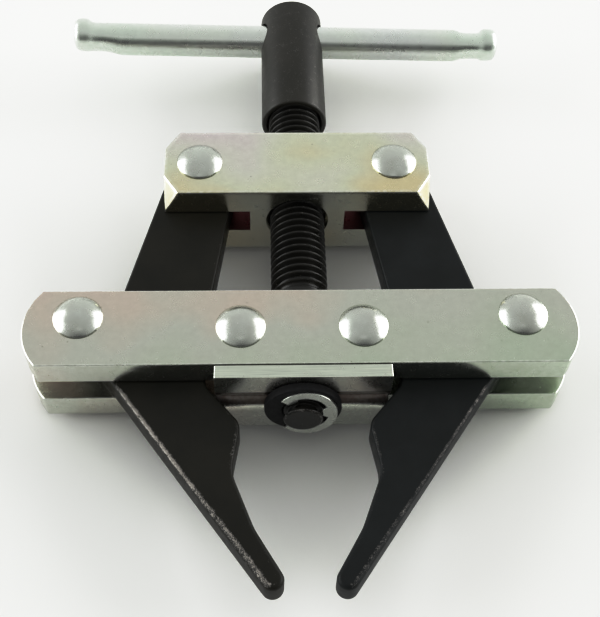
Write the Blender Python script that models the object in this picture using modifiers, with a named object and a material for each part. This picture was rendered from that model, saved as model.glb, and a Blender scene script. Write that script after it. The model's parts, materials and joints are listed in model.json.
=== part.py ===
"""Roller chain puller: two hooked arms worked by one captive screw.

Metres, +Z up. The long bar lies along X, the screw along Y, and the arms swing about Z.
The origin is the middle of the footprint, on the surface that the lower rivet heads stand on.
Positions along Y are measured from the front face of the long bar until the assembly is placed.
"""
import itertools
import math

import bmesh
import bpy
from mathutils import Matrix, Vector

# Clearances
GAP = 0.0003                    # left between two pieces that touch or fit on the real tool
RUN = 0.0004                    # round a pin or shaft that turns

# Long bar: two flat plates, one over the other
BAR_LENGTH = 0.1101             # over the crowns of the end arcs
BAR_CORNER_LENGTH = 0.1034      # over the four sharp corners
BAR_DEPTH = 0.0177
PLATE = 0.0060                  # plate thickness
THROAT = 0.0064                 # space between the plates, where the arms run
BAR_TOP = THROAT / 2 + PLATE

# Angle brackets that carry the screw, back to back in the throat
SHEET = 0.0028
BRACKET_WIDTH = 0.0345
TONGUE_WIDTH = 0.0330
TONGUE_REAR = 0.0135
BEND = 0.0031                   # outer bend radius

# Domed rivets
RIVET_SHANK = 0.0025            # radius
RIVET_HEAD = 0.0049             # radius
OUTER_RIVET = (0.04425, 0.0112)
INNER_RIVET = (0.01215, 0.0088)
SLEEVE = 0.00385                # radius of the spacer on each outer rivet
REST_HEIGHT = 0.0116            # from the mid-plane down to the crowns of all lower heads

# Screw
SCREW = 0.0060                  # major radius
JOURNAL = 0.0039                # radius through the bar
JOURNAL_TIP = -0.0074
SHOULDER = BAR_DEPTH + GAP      # the screw's step bears on the back of the bar
COLLAR_REAR = 0.0210
THREAD_ROOT = 0.0050
SCREW_EDGE = 0.0006             # bevels of its steps and ends
WASHER = 0.00765                # radius
WASHER_THICK = 0.0017
WASHER_EDGE = 0.0002
RING = 0.0062                   # outer radius of the retaining ring
RING_THICK = 0.0008
RING_BAND = 0.0044              # inner radius between the lugs
RING_MOUTH = math.radians(41.5)     # half of the opening
RING_CLOCKING = math.radians(-5.0)  # how far the opening stands turned down from -X
RING_LUG = math.radians(17)     # half of each lug's width
RING_GROOVE = 0.0029            # radius at the bottom of its groove

# Handle head: a sleeve on the rear of the screw, with a cross-hole for the tommy bar
HEAD = 0.0076                   # radius
HEAD_MOUTH = 0.0730
HEAD_REAR = 0.1087
HEAD_BORE_END = 0.0953
HEAD_EDGE = 0.0007
RELIEF = 0.0068                 # radius of the wider mouth of its bore
RELIEF_DEPTH = 0.0012
RELIEF_TAPER = 0.0004
CROSS_HOLE = 0.0043             # radius
CROSS_HOLE_Y = 0.1019
CLOCKING = math.radians(1.4)    # how far the head stands turned from level

# Tommy bar
TOMMY = 0.00395                 # radius
TOMMY_LEFT, TOMMY_RIGHT = -0.0540, 0.0518
TOMMY_END = 0.0040              # rounded end
TOMMY_EDGE = 0.0011
TOMMY_PINCH = 0.0059            # pinched stretch that stops it leaving the hole
PINCH_RUN_IN = 0.0012
PINCH_SPREAD, PINCH_SQUEEZE = 1.17, 0.86    # scale along the pinched flats, and across them
PINCH_TURN = math.radians(48)   # how far the pinched flats are turned from level

# Yoke: the nut block that the arms hang on
YOKE_FRONT, YOKE_REAR = 0.0434, 0.0614
YOKE_LENGTH = 0.0582
YOKE_CORNER = (0.0032, 0.0050)      # slanted corner cuts at the top and bottom: along X, along Y
YOKE_HEIGHT = 0.01885
YOKE_CORE = 0.0208              # length of the solid middle, between the two slots
YOKE_SINK = 0.0007              # countersink of its bore
PIVOT = (0.02136, 0.05239)

# Arms
ARM = 0.0058                    # thickness
ARM_CHAMFER = 0.0008
EYE = 0.0076                    # radius round the pivot
OUTER_LEAN = math.radians(14.0)     # upper outer edge, from the Y axis
INNER_LEAN = math.radians(8.65)     # upper inner edge
JAW_LEAN = math.radians(30.0)       # inner working edge
BACK_LEAN = math.radians(35.0)      # lower outer edge
TIP = (0.00675, -0.0406)
TIP_RADIUS = 0.0021
TIP_FRONT = TIP[1] - TIP_RADIUS
JAW = 0.0100                        # length of the straight working edge
HEEL = (0.04106, 0.00476)           # where the two outer edges meet
HEEL_RADIUS = 0.0015
# Corners of the inner edge from the eye to the jaw, with their radii and arc steps
ARM_INNER = (
    ((0.02055, 0.0080), 0.0060, 3),     # hollow inside the bar
    ((0.01920, -0.0010), 0.0040, 3),
    ((0.01240, -0.0094), 0.0036, 5),    # shoulder in front of the bracket
    ((0.01420, -0.0196), 0.0090, 4),    # waist
)
JAW_TOP_RADIUS = 0.0140

TURN_STEPS = 24
MIDDLE_Y = (HEAD_REAR + TIP_FRONT) / 2
ALONG_Y = (-math.pi / 2, 0, 0)      # lays a turned piece along the screw

# Plain finishes: colour, metallic, roughness
FINISHES = {
    "zinc": ((0.62, 0.64, 0.58), 1.0, 0.28),
    "polished": ((0.72, 0.73, 0.70), 1.0, 0.14),
    "black_oxide": ((0.018, 0.019, 0.020), 0.6, 0.42),
    "dark_steel": ((0.030, 0.028, 0.026), 0.7, 0.36),
    "washer_black": ((0.012, 0.012, 0.013), 0.3, 0.60),
}


def new_collection(name):
    collection = bpy.data.collections.new(name)
    bpy.context.scene.collection.children.link(collection)
    return collection


def finish(obj, kind):
    colour, metallic, roughness = FINISHES[kind]
    material = bpy.data.materials.new(f"{obj.name}_{kind}")
    material.use_nodes = True
    shader = material.node_tree.nodes["Principled BSDF"]
    shader.inputs["Base Color"].default_value = (*colour, 1)
    shader.inputs["Metallic"].default_value = metallic
    shader.inputs["Roughness"].default_value = roughness
    obj.data.materials.clear()
    obj.data.materials.append(material)


def joint_empty(name, location, parent=None):
    empty = bpy.data.objects.new(name, None)
    parts.objects.link(empty)
    empty.location = location
    empty.parent = parent
    return empty


def place(obj, parent, location=(0, 0, 0), rotation=(0, 0, 0)):
    obj.parent = parent
    obj.location = location
    obj.rotation_euler = rotation
    return obj


def arc(centre, radius, start, end, steps):
    """Points on a circle from the start angle to the end angle, in radians."""
    return [(centre[0] + radius * math.cos(start + (end - start) * i / steps),
             centre[1] + radius * math.sin(start + (end - start) * i / steps))
            for i in range(steps + 1)]


def rounded_corner(before, corner, after, radius, steps):
    """The corner of an outline replaced by an arc that is tangent to both of its edges."""
    corner = Vector(corner)
    back = (Vector(before) - corner).normalized()
    ahead = (Vector(after) - corner).normalized()
    half = back.angle(ahead) / 2
    centre = corner + (back + ahead).normalized() * radius / math.sin(half)
    reach = radius / math.tan(half)
    first = corner + back * reach - centre
    last = corner + ahead * reach - centre
    start = math.atan2(first.y, first.x)
    sweep = math.atan2(last.y, last.x) - start
    sweep = (sweep + math.pi) % (2 * math.pi) - math.pi
    return arc(centre, radius, start, start + sweep, steps)


def extruded(name, outline, thickness):
    """A flat outline in its own XY plane, thickened evenly about that plane, as a closed mesh."""
    curve = bpy.data.curves.new(name + "_outline", "CURVE")
    curve.dimensions = "2D"
    curve.fill_mode = "BOTH"
    curve.extrude = thickness / 2
    spline = curve.splines.new("POLY")
    spline.points.add(len(outline) - 1)
    for point, (x, y) in zip(spline.points, outline):
        point.co = (x, y, 0, 1)
    spline.use_cyclic_u = True
    flat = bpy.data.objects.new(name + "_outline", curve)
    bpy.context.scene.collection.objects.link(flat)
    graph = bpy.context.evaluated_depsgraph_get()
    mesh = bpy.data.meshes.new_from_object(flat.evaluated_get(graph))
    bpy.data.objects.remove(flat)
    work = bmesh.new()
    work.from_mesh(mesh)
    bmesh.ops.remove_doubles(work, verts=work.verts, dist=1e-6)
    bmesh.ops.recalc_face_normals(work, faces=work.faces)
    work.to_mesh(mesh)
    work.free()
    obj = bpy.data.objects.new(name, mesh)
    parts.objects.link(obj)
    return obj


def turned(name, profile, collection=None):
    """A profile of (radius, height) points, outer side top to bottom, turned about its own Z.

    A profile that starts off the axis is a closed ring: it comes back up its inner side.
    """
    ring = profile[0][0] > 0
    mesh = bpy.data.meshes.new(name)
    points = [(radius, 0, height) for radius, height in profile]
    edges = [(i, i + 1) for i in range(len(points) - 1)]
    if ring:
        edges.append((len(points) - 1, 0))
    mesh.from_pydata(points, edges, [])
    obj = bpy.data.objects.new(name, mesh)
    (collection or parts).objects.link(obj)
    screw = obj.modifiers.new("turn", "SCREW")
    screw.steps = TURN_STEPS
    screw.render_steps = TURN_STEPS
    screw.use_merge_vertices = True
    screw.merge_threshold = 1e-6
    screw.use_smooth_shade = True
    return obj


def cutter_cylinder(name, radius, length):
    """A plain cylinder about its own Z, centred on its origin."""
    return turned(name, [(0, length / 2), (radius, length / 2), (radius, -length / 2), (0, -length / 2)],
                  cutters)


def cutter_box(name, size):
    mesh = bpy.data.meshes.new(name)
    work = bmesh.new()
    bmesh.ops.create_cube(work, size=1)
    bmesh.ops.scale(work, vec=size, verts=work.verts)
    work.to_mesh(mesh)
    work.free()
    obj = bpy.data.objects.new(name, mesh)
    cutters.objects.link(obj)
    return obj


def cut(obj, cutter):
    cutter.hide_render = True
    cutter.display_type = "WIRE"
    boolean = obj.modifiers.new(cutter.name, "BOOLEAN")
    boolean.operation = "DIFFERENCE"
    boolean.solver = "EXACT"
    boolean.object = cutter


def chamfer(obj, width):
    """A flat bevel on the edges where two faces meet squarely."""
    bevel = obj.modifiers.new("chamfer", "BEVEL")
    bevel.width = width
    bevel.segments = 1
    bevel.use_clamp_overlap = False
    bevel.limit_method = "ANGLE"
    bevel.angle_limit = math.radians(60)


def dome(base_radius, rise, base_height, steps=4):
    """Crown of a rivet, from the middle out to its edge, as (radius, height) points."""
    sphere = (base_radius ** 2 + rise ** 2) / (2 * rise)
    reach = math.asin(base_radius / sphere)
    top = base_height + rise
    return [(sphere * math.sin(reach * i / steps), top - sphere * (1 - math.cos(reach * i / steps)))
            for i in range(steps + 1)]


# Pieces -------------------------------------------------------------------------------------

def rivet(name, grip_half, parent, spot):
    """A shank with a domed head at each end, gripping pieces whose faces are grip_half from the middle."""
    under = grip_half + GAP
    top = dome(RIVET_HEAD, REST_HEIGHT - under, under)
    upper = top + [(RIVET_SHANK, under)]
    lower = [(radius, -height) for radius, height in reversed(upper)]
    obj = turned(name, upper + lower)
    finish(obj, "polished")
    return place(obj, parent, (*spot, 0))


def rivet_spots():
    return [(side * x, y) for x, y in (OUTER_RIVET, INNER_RIVET) for side in (-1, 1)]


def side_plate(name, side, parent):
    """One plate of the long bar, with an arc at each end and a groove for the screw's journal."""
    half, corner, mid = BAR_LENGTH / 2, BAR_CORNER_LENGTH / 2, BAR_DEPTH / 2
    rise = half - corner
    radius = (mid ** 2 + rise ** 2) / (2 * rise)
    sweep = math.asin(mid / radius)
    outline = arc((half - radius, mid), radius, -sweep, sweep, 8)
    outline += arc((radius - half, mid), radius, math.pi - sweep, math.pi + sweep, 8)
    obj = extruded(name, outline, PLATE)
    place(obj, parent, (0, 0, side * (THROAT + PLATE) / 2))
    for count, (x, y) in enumerate(rivet_spots(), 1):
        hole = cutter_cylinder(f"{name}_hole_{count}", RIVET_SHANK + GAP, 3 * PLATE)
        place(hole, parent, (x, y, side * (THROAT + PLATE) / 2))
        cut(obj, hole)
    groove = cutter_cylinder(name + "_groove", JOURNAL + GAP, 3 * BAR_DEPTH)
    place(groove, parent, (0, BAR_DEPTH / 2, 0), ALONG_Y)
    cut(obj, groove)
    finish(obj, "zinc")
    return obj


def bracket(name, side, parent):
    """A bent angle: a web in front of the bar and a tongue that runs back into the throat."""
    low = GAP / 2
    web_rear, web_front = -GAP, -GAP - SHEET
    bend_centre = (web_front + BEND, low + BEND)
    section = [(TONGUE_REAR, low + SHEET), (web_rear, low + SHEET), (web_rear, BAR_TOP), (web_front, BAR_TOP)]
    section += arc(bend_centre, BEND, math.pi, 1.5 * math.pi, 6)
    section += [(TONGUE_REAR, low)]
    obj = extruded(name, section, BRACKET_WIDTH)
    flip = (math.pi / 2, 0, math.pi / 2)
    place(obj, parent, rotation=flip)
    if side < 0:
        for vertex in obj.data.vertices:
            vertex.co.y = -vertex.co.y
        obj.data.flip_normals()
    trim_width, trim_length = BRACKET_WIDTH - TONGUE_WIDTH, 1.3 * TONGUE_REAR
    for end in (-1, 1):
        trim = cutter_box(f"{name}_trim_{end}", (trim_width, trim_length, 2 * THROAT))
        place(trim, parent, (end * BRACKET_WIDTH / 2, trim_length / 2 + web_rear, 0))
        cut(obj, trim)
        hole = cutter_cylinder(f"{name}_hole_{end}", RIVET_SHANK + GAP, 4 * THROAT)
        place(hole, parent, (end * INNER_RIVET[0], INNER_RIVET[1], 0))
        cut(obj, hole)
    bore = cutter_cylinder(name + "_bore", JOURNAL + GAP, 4 * TONGUE_REAR)
    place(bore, parent, rotation=ALONG_Y)
    cut(obj, bore)
    finish(obj, "zinc")
    return obj


def spacer_sleeve(name, side, parent):
    half = ARM / 2
    inner = RIVET_SHANK + GAP
    obj = turned(name, [(SLEEVE, half), (SLEEVE, -half), (inner, -half), (inner, half)])
    finish(obj, "polished")
    return place(obj, parent, (side * OUTER_RIVET[0], OUTER_RIVET[1], 0))


def screw_spindle(parent):
    """Journal with a ring groove, shoulder, and the threaded length as its major and root diameters."""
    groove_rear = -GAP - SHEET - GAP - WASHER_THICK - GAP / 2
    groove_front = groove_rear - RING_THICK - GAP
    tip = JOURNAL_TIP
    edge, end = SCREW_EDGE, HEAD_BORE_END - GAP
    profile = [
        (0, end), (THREAD_ROOT, end), (SCREW, end - edge),
        (SCREW, COLLAR_REAR + 3 * edge), (THREAD_ROOT, COLLAR_REAR + edge), (THREAD_ROOT, COLLAR_REAR),
        (SCREW - edge, COLLAR_REAR), (SCREW, COLLAR_REAR - edge), (SCREW, SHOULDER + edge / 2),
        (SCREW - edge / 2, SHOULDER), (JOURNAL, SHOULDER),
        (JOURNAL, groove_rear), (RING_GROOVE, groove_rear), (RING_GROOVE, groove_front),
        (JOURNAL, groove_front), (JOURNAL, tip + edge), (JOURNAL - edge, tip), (0, tip),
    ]
    obj = turned("screw", profile)
    finish(obj, "dark_steel")
    return place(obj, parent, rotation=ALONG_Y)


def thrust_washer(parent):
    rear = -GAP - SHEET - GAP
    front = rear - WASHER_THICK
    inner, edge = JOURNAL + GAP, WASHER_EDGE
    profile = [(WASHER - edge, rear), (WASHER, rear - edge), (WASHER, front + edge),
               (WASHER - edge, front), (inner, front), (inner, rear)]
    obj = turned("thrust_washer", profile)
    finish(obj, "washer_black")
    return place(obj, parent, rotation=ALONG_Y)


def retaining_ring(parent):
    """An E-shaped clip: a band with three lugs that reach into the groove, open to one side."""
    steps = 28
    start, end = RING_MOUTH - math.pi, math.pi - RING_MOUTH
    outline = arc((0, 0), RING, start, end, steps)
    lugs = (start + RING_LUG * 2 / 3, 0.0, end - RING_LUG * 2 / 3)
    for i in range(steps, -1, -1):
        angle = start + (end - start) * i / steps
        on_lug = min(abs(angle - lug) for lug in lugs) < RING_LUG
        radius = RING_GROOVE + GAP if on_lug else RING_BAND
        outline.append((radius * math.cos(angle), radius * math.sin(angle)))
    obj = extruded("retaining_ring", outline, RING_THICK)
    finish(obj, "polished")
    centre_y = -GAP - SHEET - GAP - WASHER_THICK - GAP - RING_THICK / 2
    return place(obj, parent, (0, centre_y, 0), (math.pi / 2, RING_CLOCKING, 0))


def handle_head(parent):
    """Sleeve with a blind bore for the screw, a relieved mouth and a cross-hole."""
    edge, bore = HEAD_EDGE, SCREW + GAP
    relief_end = HEAD_MOUTH + RELIEF_DEPTH
    profile = [
        (0, HEAD_REAR), (HEAD - edge, HEAD_REAR), (HEAD, HEAD_REAR - edge), (HEAD, HEAD_MOUTH + edge / 2),
        (HEAD - edge / 2, HEAD_MOUTH), (RELIEF, HEAD_MOUTH), (RELIEF, relief_end),
        (bore, relief_end + RELIEF_TAPER), (bore, HEAD_BORE_END), (0, HEAD_BORE_END),
    ]
    obj = turned("handle_head", profile)
    place(obj, parent, rotation=ALONG_Y)
    hole = cutter_cylinder("handle_head_cross_hole", CROSS_HOLE, 4 * HEAD)
    place(hole, parent, (0, CROSS_HOLE_Y, 0), (0, math.pi / 2 + CLOCKING, 0))
    cut(obj, hole)
    finish(obj, "dark_steel")
    return obj


def pinch(point, pinched_from, pinched_to):
    """Flattens a stretch of the bar one way, which spreads it the other way."""
    if pinched_from - 1e-6 < point.z < pinched_to + 1e-6:
        point.x *= PINCH_SPREAD
        point.y *= PINCH_SQUEEZE


def tommy_bar(parent):
    """A round bar, pinched near each end so that it stays in its hole."""
    right, left = TOMMY_RIGHT, TOMMY_LEFT
    edge, run_in = TOMMY_EDGE, PINCH_RUN_IN
    half = [(0, 0), (TOMMY - edge, 0), (TOMMY, -edge), (TOMMY, -TOMMY_END + run_in), (TOMMY, -TOMMY_END),
            (TOMMY, -TOMMY_END - TOMMY_PINCH + run_in), (TOMMY, -TOMMY_END - TOMMY_PINCH)]
    profile = [(radius, right + height) for radius, height in half]
    profile += [(radius, left - height) for radius, height in reversed(half)]
    obj = turned("tommy_bar", profile)
    graph = bpy.context.evaluated_depsgraph_get()
    solid = bpy.data.meshes.new_from_object(obj.evaluated_get(graph))
    obj.modifiers.clear()
    obj.data = solid
    inner = TOMMY_END + TOMMY_PINCH - run_in
    for vertex in solid.vertices:
        pinch(vertex.co, right - inner, right - TOMMY_END)
        pinch(vertex.co, left + TOMMY_END, left + inner)
    solid.transform(Matrix.Rotation(PINCH_TURN, 4, "Z"))
    finish(obj, "polished")
    return place(obj, parent, (0, CROSS_HOLE_Y, 0), (0, math.pi / 2 + CLOCKING, 0))


def yoke_blank():
    """The block with a slanted cut at each corner, which runs out at the edge of the slot."""
    half_x, half_y, half_z = YOKE_LENGTH / 2, (YOKE_REAR - YOKE_FRONT) / 2, YOKE_HEIGHT / 2
    along, across = YOKE_CORNER
    corners = ((half_x - along, half_y, half_z), (half_x, half_y - across, half_z),
               (half_x, half_y, THROAT / 2))
    mesh = bpy.data.meshes.new("yoke")
    work = bmesh.new()
    for signs in itertools.product((-1, 1), repeat=3):
        for corner in corners:
            work.verts.new([sign * size for sign, size in zip(signs, corner)])
    bmesh.ops.convex_hull(work, input=work.verts)
    bmesh.ops.dissolve_limit(work, angle_limit=math.radians(1), verts=work.verts, edges=work.edges)
    bmesh.ops.recalc_face_normals(work, faces=work.faces)
    work.to_mesh(mesh)
    work.free()
    obj = bpy.data.objects.new("yoke", mesh)
    parts.objects.link(obj)
    return obj


def yoke_block(parent):
    """The nut block: slotted from both ends for the arms, and bored through for the screw."""
    half, depth = YOKE_LENGTH / 2, (YOKE_REAR - YOKE_FRONT) / 2
    middle = (YOKE_FRONT + YOKE_REAR) / 2
    obj = place(yoke_blank(), parent, (0, middle, 0))
    for side in (-1, 1):
        opening = cutter_box(f"yoke_slot_{side}", (half, 4 * depth, THROAT))
        place(opening, parent, (side * (YOKE_CORE + half) / 2, middle, 0))
        cut(obj, opening)
        hole = cutter_cylinder(f"yoke_pivot_hole_{side}", RIVET_SHANK + GAP, 2 * YOKE_HEIGHT)
        place(hole, parent, (side * PIVOT[0], PIVOT[1], 0))
        cut(obj, hole)
    bore, sink = SCREW + GAP, YOKE_SINK
    reach = depth + sink
    profile = [(0, reach), (bore + 2 * sink, reach), (bore, depth - sink), (bore, sink - depth),
               (bore + 2 * sink, -reach), (0, -reach)]
    tapping = turned("yoke_tapping", profile, cutters)
    place(tapping, parent, (0, middle, 0), ALONG_Y)
    cut(obj, tapping)
    finish(obj, "zinc")
    return obj


def arm_outline():
    """The right arm about its pivot, counter-clockwise from the outer side of the eye."""
    def from_pivot(x, y):
        return (x - PIVOT[0], y - PIVOT[1])

    eye = arc((0, 0), EYE, OUTER_LEAN, math.pi + INNER_LEAN, 12)
    tip = arc(from_pivot(*TIP), TIP_RADIUS, math.pi - JAW_LEAN, 2 * math.pi - BACK_LEAN, 8)
    jaw_top = (tip[0][0] + JAW * math.sin(JAW_LEAN), tip[0][1] + JAW * math.cos(JAW_LEAN))
    inner = [(from_pivot(*corner), radius, steps) for corner, radius, steps in ARM_INNER]
    inner.append((jaw_top, JAW_TOP_RADIUS, 3))
    corners = [eye[-1]] + [corner for corner, _, _ in inner] + [tip[0]]
    outline = list(eye)
    for i, (corner, radius, steps) in enumerate(inner, 1):
        outline += rounded_corner(corners[i - 1], corner, corners[i + 1], radius, steps)
    outline += tip
    outline += rounded_corner(tip[-1], from_pivot(*HEEL), eye[0], HEEL_RADIUS, 3)
    return outline


def arm(name, side, parent):
    """One hooked arm, with its origin on its pivot."""
    outline = [(side * x, y) for x, y in arm_outline()]
    obj = extruded(name, outline, ARM)
    place(obj, parent)
    chamfer(obj, ARM_CHAMFER)
    hole = cutter_cylinder(name + "_hole", RIVET_SHANK + RUN, 3 * ARM)
    place(hole, parent)
    cut(obj, hole)
    finish(obj, "black_oxide")
    return obj


def build():
    frame = joint_empty("puller_frame", (0, -MIDDLE_Y, REST_HEIGHT))
    screw_axis = joint_empty("screw_axis", (0, 0, 0), frame)
    carriage = joint_empty("yoke_carriage", (0, 0, 0), frame)
    side_plate("top_side_plate", 1, frame)
    side_plate("bottom_side_plate", -1, frame)
    bracket("upper_bracket", 1, frame)
    bracket("lower_bracket", -1, frame)
    screw_spindle(screw_axis)
    thrust_washer(screw_axis)
    retaining_ring(screw_axis)
    handle_head(screw_axis)
    tommy_bar(screw_axis)
    yoke_block(carriage)
    for word, side in (("left", -1), ("right", 1)):
        rivet(f"outer_rivet_{word}", BAR_TOP, frame, (side * OUTER_RIVET[0], OUTER_RIVET[1]))
        rivet(f"inner_rivet_{word}", BAR_TOP, frame, (side * INNER_RIVET[0], INNER_RIVET[1]))
        spacer_sleeve(f"spacer_sleeve_{word}", side, frame)
        pivot = joint_empty(f"{word}_arm_pivot", (side * PIVOT[0], PIVOT[1], 0), carriage)
        rivet(f"yoke_rivet_{word}", YOKE_HEIGHT / 2, pivot, (0, 0))
        arm(f"{word}_arm", side, pivot)


for old in list(bpy.data.objects):
    bpy.data.objects.remove(old)
parts = new_collection("chain_puller")
cutters = new_collection("cutters")
build()
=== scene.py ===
"""Roller chain puller: fine meshes, materials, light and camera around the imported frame.

Metres, in the frame's own axes: +X along the long bar, +Y along the screw to the handle, +Z up.
"""
import itertools
import json
import math

import bmesh
import bpy
import numpy as np
from mathutils import Matrix, Vector
from mathutils.geometry import delaunay_2d_cdt


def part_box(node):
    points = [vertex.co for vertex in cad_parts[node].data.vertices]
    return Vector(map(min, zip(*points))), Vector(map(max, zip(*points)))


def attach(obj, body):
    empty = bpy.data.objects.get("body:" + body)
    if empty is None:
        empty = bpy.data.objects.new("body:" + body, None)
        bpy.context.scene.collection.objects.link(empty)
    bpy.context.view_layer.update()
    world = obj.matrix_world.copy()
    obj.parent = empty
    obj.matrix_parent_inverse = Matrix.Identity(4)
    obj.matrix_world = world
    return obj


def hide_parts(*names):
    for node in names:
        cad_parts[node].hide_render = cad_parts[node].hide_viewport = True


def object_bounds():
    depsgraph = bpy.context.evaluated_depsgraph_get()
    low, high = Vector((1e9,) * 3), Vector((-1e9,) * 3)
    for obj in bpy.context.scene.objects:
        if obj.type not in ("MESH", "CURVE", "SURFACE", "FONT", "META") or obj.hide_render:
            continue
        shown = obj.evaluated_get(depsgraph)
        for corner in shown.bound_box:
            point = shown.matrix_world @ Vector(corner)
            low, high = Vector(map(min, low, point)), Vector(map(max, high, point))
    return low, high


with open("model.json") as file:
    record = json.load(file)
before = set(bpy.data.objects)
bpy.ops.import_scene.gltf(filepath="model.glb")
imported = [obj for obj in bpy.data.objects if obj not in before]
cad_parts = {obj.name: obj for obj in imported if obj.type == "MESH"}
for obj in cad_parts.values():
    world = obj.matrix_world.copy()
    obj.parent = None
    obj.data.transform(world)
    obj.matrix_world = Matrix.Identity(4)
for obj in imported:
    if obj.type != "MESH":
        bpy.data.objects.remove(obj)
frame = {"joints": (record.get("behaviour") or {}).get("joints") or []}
cad_low, cad_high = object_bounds()

MM = 0.001


def joint(name):
    return next(j for j in frame["joints"] if j["name"] == name)


# Places that the frame gives
AXIS_Z = joint("screw_turn")["pos_m"][2]
PIVOT = {side: Vector(joint(f"{side}_arm_pivot")["pos_m"]) for side in ("left", "right")}
BAR_LOW, BAR_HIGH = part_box("top_side_plate")
LOWER_BAR_LOW, LOWER_BAR_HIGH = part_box("bottom_side_plate")
FRONT = BAR_LOW.y                       # front face of the long bar
YOKE_LOW, YOKE_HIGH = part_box("yoke")
HEAD_LOW, HEAD_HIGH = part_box("handle_head")
SCREW_LOW, SCREW_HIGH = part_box("screw")
TOMMY_LOW, TOMMY_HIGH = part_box("tommy_bar")
CROSS_Y = (TOMMY_LOW.y + TOMMY_HIGH.y) / 2
SLIDE = joint("tommy_bar_slide")["axis"]
CLOCKING = math.atan2(-SLIDE[2], SLIDE[0])

# Rivets
SHANK = 2.5 * MM
HEAD_RADIUS = 4.9 * MM
PLATE_HOLE = SHANK + 0.15 * MM

# Screw
PITCH = 1.75 * MM
MAJOR = 6.0 * MM
ROOT = 4.93 * MM
JOURNAL = 3.9 * MM
JOURNAL_GAP = 0.3 * MM

TURN_STEPS = 96
HOLE_STEPS = 64


# Outlines -----------------------------

def arc(centre, radius, start, end, steps):
    """Points on a circle from the start angle to the end angle, in radians."""
    return [(centre[0] + radius * math.cos(start + (end - start) * i / steps),
             centre[1] + radius * math.sin(start + (end - start) * i / steps))
            for i in range(steps + 1)]


def rounded_corner(before, corner, after, radius, steps):
    """The corner of an outline replaced by an arc that is tangent to both of its edges."""
    corner = Vector(corner)
    back = (Vector(before) - corner).normalized()
    ahead = (Vector(after) - corner).normalized()
    half = back.angle(ahead) / 2
    centre = corner + (back + ahead).normalized() * radius / math.sin(half)
    reach = radius / math.tan(half)
    first = corner + back * reach - centre
    last = corner + ahead * reach - centre
    start = math.atan2(first.y, first.x)
    sweep = math.atan2(last.y, last.x) - start
    sweep = (sweep + math.pi) % (2 * math.pi) - math.pi
    return arc(centre, radius, start, start + sweep, steps)


def rounded(corners, radius, steps):
    """A closed outline with this radius at each of its corners."""
    outline = []
    for i, corner in enumerate(corners):
        outline += rounded_corner(corners[i - 1], corner, corners[(i + 1) % len(corners)], radius, steps)
    return outline


def circle(x, y, radius, steps):
    """A whole circle as a closed outline."""
    return arc((x, y), radius, 0, 2 * math.pi, steps)[:-1]


def divided(outline, longest):
    """The same closed outline, with points added so that no edge is longer than this."""
    points = []
    for i, point in enumerate(outline):
        after = outline[(i + 1) % len(outline)]
        length = math.dist(point, after)
        parts = max(1, math.ceil(length / longest))
        points += [(point[0] + (after[0] - point[0]) * k / parts,
                    point[1] + (after[1] - point[1]) * k / parts) for k in range(parts)]
    return points


def inset(outline, depths):
    """A counter-clockwise outline moved inwards, by its own depth at each point."""
    points = np.array(outline)
    back = points - np.roll(points, 1, axis=0)
    ahead = np.roll(points, -1, axis=0) - points
    back /= np.linalg.norm(back, axis=1)[:, None]
    ahead /= np.linalg.norm(ahead, axis=1)[:, None]
    inward = np.stack([-back[:, 1] - ahead[:, 1], back[:, 0] + ahead[:, 0]], axis=1)
    mitre = inward / (1 + (back * ahead).sum(axis=1))[:, None]
    return points + mitre * np.asarray(depths)[:, None]


# Meshes -------------------------------

def add_object(name, data):
    obj = bpy.data.objects.new(name, data)
    bpy.context.scene.collection.objects.link(obj)
    return obj


def smooth(mesh, crease):
    """Smooth shading but for creases over this many degrees."""
    mesh.shade_smooth()
    mesh.set_sharp_from_angle(angle=math.radians(crease))


def solid(name, points, faces, wear=None, crease=35):
    """A closed mesh with its faces pointing out, smooth but for creases over this many degrees."""
    mesh = bpy.data.meshes.new(name)
    mesh.from_pydata([tuple(p) for p in points], [], faces)
    if wear is not None:
        worn = mesh.attributes.new("wear", "FLOAT", "POINT")
        worn.data.foreach_set("value", np.array(wear, np.float32))
    work = bmesh.new()
    work.from_mesh(mesh)
    bmesh.ops.remove_doubles(work, verts=work.verts, dist=1e-7)
    bmesh.ops.recalc_face_normals(work, faces=work.faces)
    work.to_mesh(mesh)
    work.free()
    smooth(mesh, crease)
    return add_object(name, mesh)


def band(first, second, count):
    """The quads between two rings of this many points, given the first point of each."""
    pairs = [(i, (i + 1) % count) for i in range(count)]
    return [(first + i, first + j, second + j, second + i) for i, j in pairs]


def flat_z(a, b, c):
    """A slab's outline lies in X and Y, and its thickness along Z."""
    return (a, b, c)


def along_x(a, b, c):
    """A slab's outline lies in Y and Z, and its thickness along X."""
    return (c, a, b)


def cap(outline, holes):
    """All points, and the triangles between them that fill an outline around its (x, y, radius) holes."""
    loops = [list(outline)] + [circle(x, y, radius, HOLE_STEPS) for x, y, radius in holes]
    points, edges = [], []
    for loop in loops:
        start = len(points)
        points += [Vector(point) for point in loop]
        edges += [(start + i, start + (i + 1) % len(loop)) for i in range(len(loop))]
    flat, _, faces, origins, _, _ = delaunay_2d_cdt(points, edges, [], 1, 1e-9)

    def in_hole(face):
        middle = sum((flat[i] for i in face), Vector((0, 0))) / len(face)
        return any(math.dist(middle, (x, y)) < radius * 0.999 for x, y, radius in holes)

    return points, [tuple(origins[i][0] for i in face) for face in faces if not in_hole(face)]


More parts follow.
